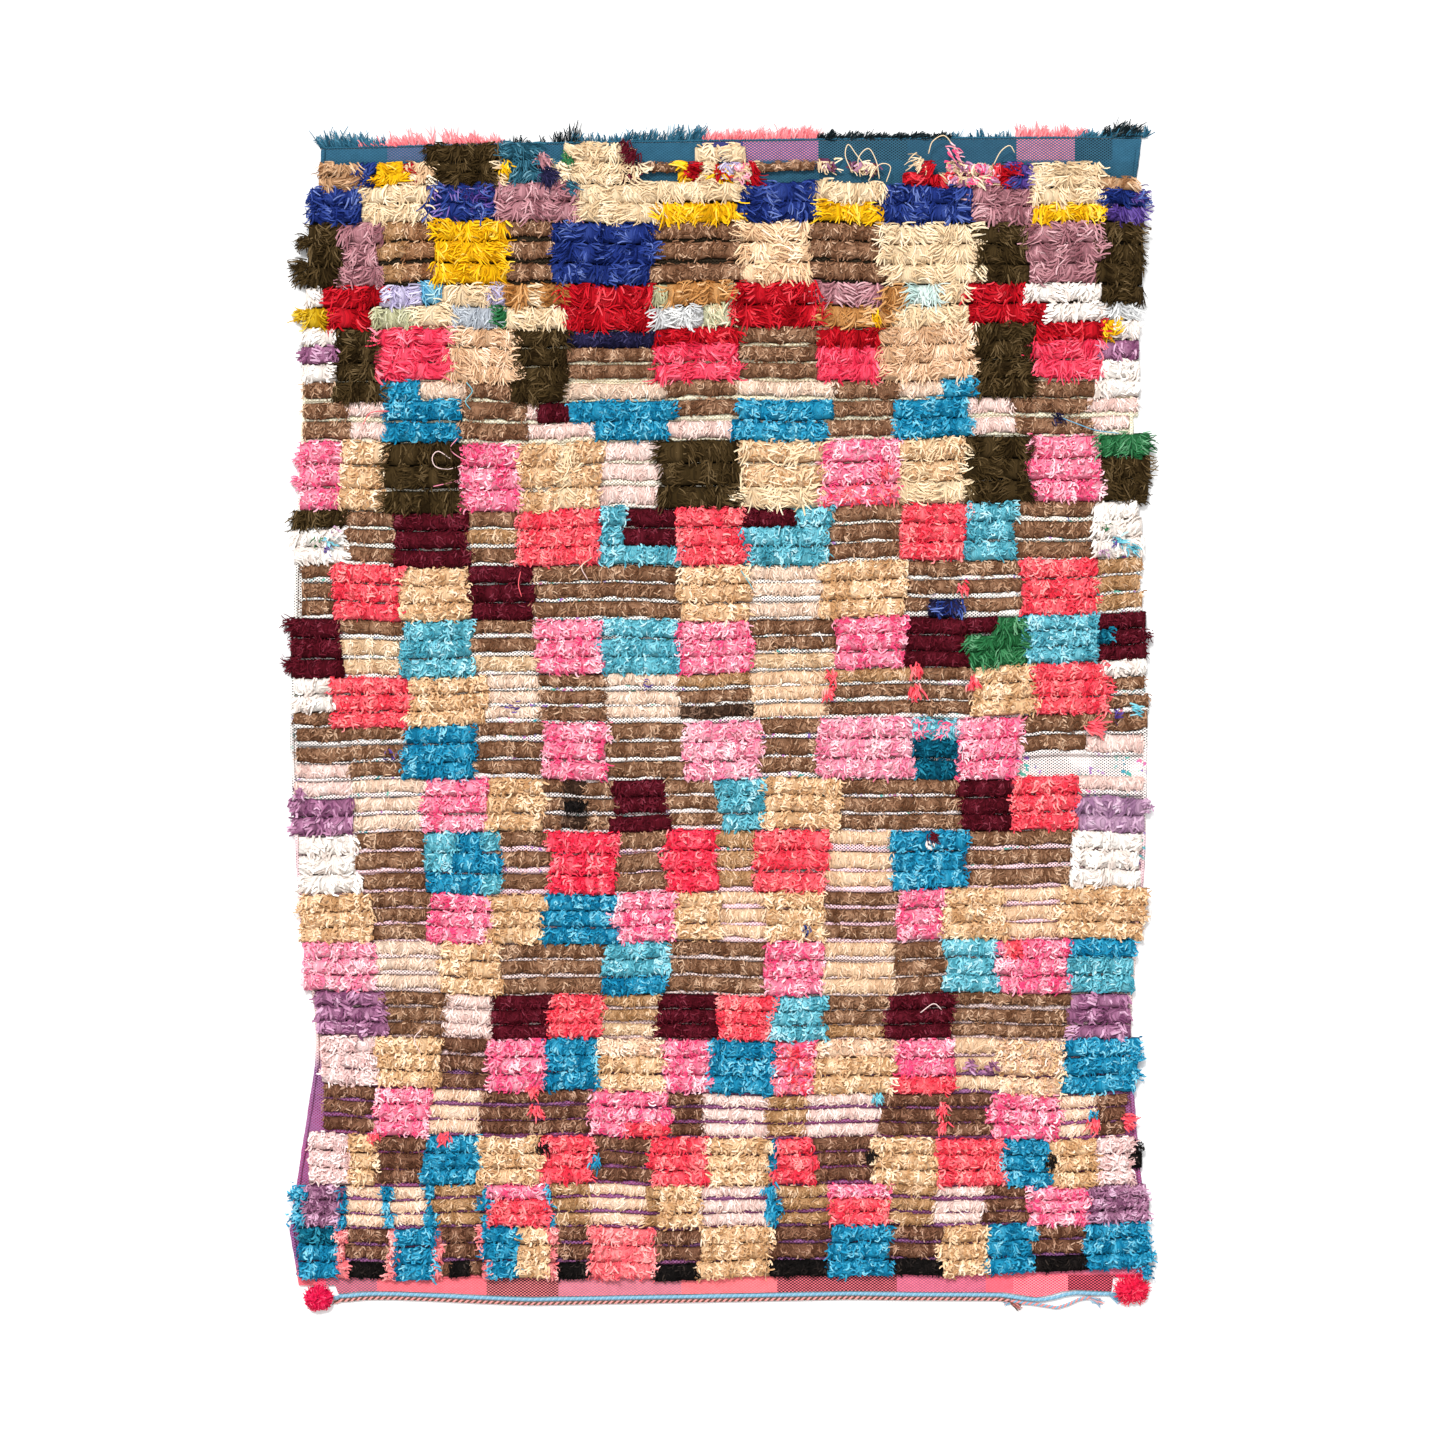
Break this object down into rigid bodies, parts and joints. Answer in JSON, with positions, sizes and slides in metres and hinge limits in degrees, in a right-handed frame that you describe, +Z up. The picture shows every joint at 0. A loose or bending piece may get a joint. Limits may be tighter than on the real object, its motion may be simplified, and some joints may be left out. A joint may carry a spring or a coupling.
{
  "type": "boucherouite rug",
  "caption": "Hand-knotted rag rug with a ridged checkered pile, a short cut fringe, twined end cords and two bound corner tufts.",
  "frame": {"origin": "middle of the rug's footprint, on the surface it lies on", "axes": "+Z up through the pile, +Y along the rug towards its fringed end, +X across it to the right as seen from above"},
  "size_m": [1.7392, 2.381, 0.0209],
  "materials": {
    "pile": "knotted rag and wool pile in many colours",
    "fringe": "cut warp yarn",
    "cord": "twined yarn",
    "tuft": "bound yarn"
  },
  "bodies": {
    "root": {"rug": "pile", "top_fringe": "fringe", "end_cord_inner": "cord", "end_cord_outer": "cord", "corner_tuft_left": "tuft", "corner_tuft_right": "tuft"}
  },
  "joints": []
}
